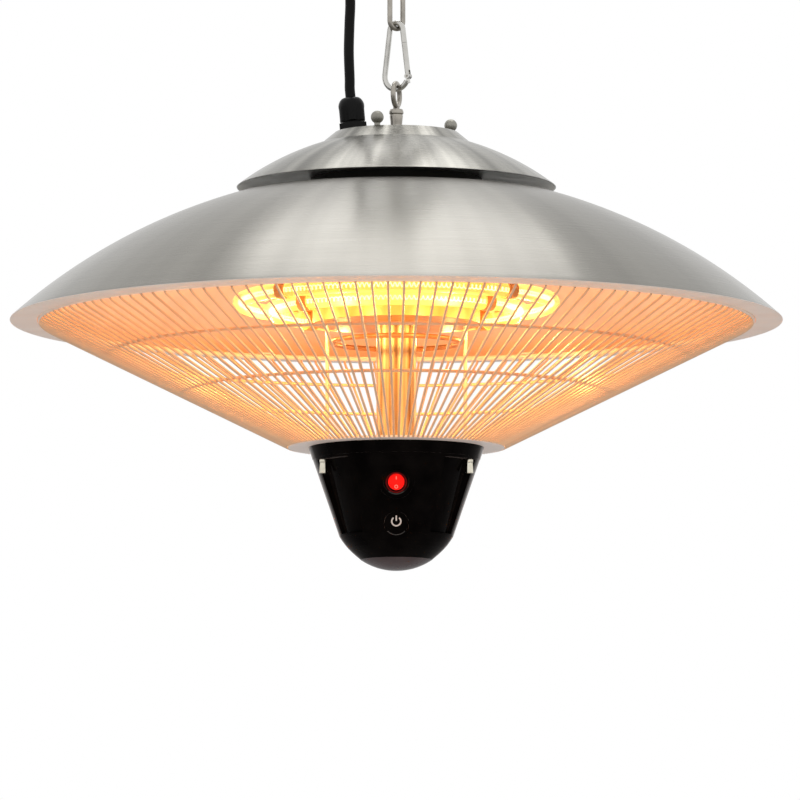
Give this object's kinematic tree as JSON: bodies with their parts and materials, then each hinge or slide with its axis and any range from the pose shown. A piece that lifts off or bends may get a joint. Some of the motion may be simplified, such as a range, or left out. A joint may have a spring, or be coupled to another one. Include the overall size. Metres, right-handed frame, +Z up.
{
  "type": "hanging umbrella heater",
  "caption": "Pendant electric heater: domed steel shade with ring lamps, wire grille and control pod, hung by eye, snap hook and chain.",
  "frame": {"origin": "on the ceiling face of the ceiling plate, on the hanging axis", "axes": "+Z up along the hanging axis, -Y towards the switches on the front of the control pod, +X to the right seen from the front"},
  "size_m": [0.6, 0.6, 0.6379],
  "materials": {
    "brushed_steel": "brushed stainless, soft vertical reflections",
    "spun_steel": "spun stainless, satin with fine rings",
    "grey_painted": "satin grey",
    "black_painted": "satin black",
    "zinc_plated": "zinc plated, dull",
    "chromed_wire": "bright polished",
    "steel_wire": "bright drawn wire",
    "ball_steel": "satin with a soft highlight",
    "cord_black": "matt black with a slight sheen",
    "gland_nylon": "moulded, satin black",
    "tie_nylon": "moulded, black",
    "plug_plastic": "moulded, matt black",
    "plated_pins": "nickel plated",
    "quartz": "clear quartz, glowing yellow white",
    "filament": "glowing coil",
    "lamp_ceramic": "matt white ceramic",
    "pod_black": "gloss black",
    "lens_smoke": "smoked, gloss",
    "rocker_red": "translucent red, lit",
    "bezel_black": "gloss black",
    "board_green": "solder mask green",
    "sensor_dark": "dark epoxy"
  },
  "bodies": {
    "ceiling": {"ceiling_plate": "zinc_plated", "ceiling_hook": "zinc_plated", "hook_washer": "zinc_plated", "hook_lock_nut": "zinc_plated", "cord_tie": "tie_nylon", "cord_coil": "cord_black", "plug_body": "plug_plastic", "plug_pins": "plated_pins", "mains_cord": "cord_black"},
    "upper_link": {"chain_link_upper": "zinc_plated"},
    "lower_link": {"chain_link_lower": "zinc_plated"},
    "snap_hook": {"snap_hook_body": "chromed_wire", "snap_gate_pin": "zinc_plated"},
    "gate": {"snap_gate": "chromed_wire"},
    "rocker": {"rocker_switch": "rocker_red"},
    "button": {"power_button": "pod_black"},
    "heater": {"eye_bolt": "zinc_plated", "eye_collar": "zinc_plated", "eye_nut": "zinc_plated", "gland_dome_nut": "gland_nylon", "gland_body": "gland_nylon", "gland_lock_nut": "gland_nylon", "canopy_cover": "spun_steel", "canopy_base": "grey_painted", "cover_studs": "zinc_plated", "ball_nuts": "ball_steel", "vent_neck": "black_painted", "shade": "spun_steel", "lamp_hub": "brushed_steel", "hub_terminal_block": "lamp_ceramic", "lamp_tube_outer": "quartz", "lamp_filament_outer": "filament", "lamp_caps_outer": "lamp_ceramic", "lamp_tube_inner": "quartz", "lamp_filament_inner": "filament", "lamp_caps_inner": "lamp_ceramic", "lamp_carriers": "brushed_steel", "centre_tube": "brushed_steel", "tie_rods": "brushed_steel", "stiffener_hoop": "steel_wire", "grille_outer_ring": "steel_wire", "grille_hoop_upper": "steel_wire", "grille_hoop_lower": "steel_wire", "grille_plate": "brushed_steel", "grille_bars_front": "steel_wire", "grille_bars_right": "steel_wire", "grille_bars_back": "steel_wire", "grille_bars_left": "steel_wire", "grille_clips": "brushed_steel", "pod_collar": "pod_black", "pod_housing": "pod_black", "pod_screws": "plated_pins", "receiver_lens": "lens_smoke", "receiver_sensor": "sensor_dark", "control_board": "board_green", "rocker_bezel": "bezel_black"}
  },
  "joints": [
    {"name": "hook_swing", "type": "hinge", "parent": "ceiling", "child": "upper_link", "pos_m": [0, 0, -0.152], "axis": [0.8387, 0.5446, 0], "range_deg": [-15, 15], "deforming": ["mains_cord"]},
    {"name": "link_swing", "type": "hinge", "parent": "upper_link", "child": "lower_link", "pos_m": [0, 0, -0.1827], "axis": [-0.5446, 0.8387, 0], "range_deg": [-15, 15], "deforming": ["mains_cord"]},
    {"name": "snap_swing", "type": "hinge", "parent": "lower_link", "child": "snap_hook", "pos_m": [0, 0, -0.2144], "axis": [0.8387, 0.5446, 0], "range_deg": [-15, 15], "deforming": ["mains_cord"]},
    {"name": "heater_swing", "type": "hinge", "parent": "snap_hook", "child": "heater", "pos_m": [0, 0, -0.262], "axis": [0.848, -0.5299, 0], "range_deg": [-15, 15], "deforming": ["mains_cord"]},
    {"name": "gate_hinge", "type": "hinge", "parent": "snap_hook", "child": "gate", "pos_m": [0.00915, -0.00572, -0.25255], "axis": [0.5299, 0.848, 0], "range_deg": [-25, 0], "stiffness_Nm_per_rad": 0.05, "springref_deg": 11.46},
    {"name": "rocker_tilt", "type": "hinge", "parent": "heater", "child": "rocker", "pos_m": [0, -0.05656, -0.574], "axis": [1, 0, 0], "range_deg": [0, 14]},
    {"name": "button_press", "type": "slide", "parent": "heater", "child": "button", "axis": [0, 0.9453, 0.3261], "range_m": [0, 0.0012], "stiffness_N_per_m": 800, "springref_m": -0.001}
  ]
}
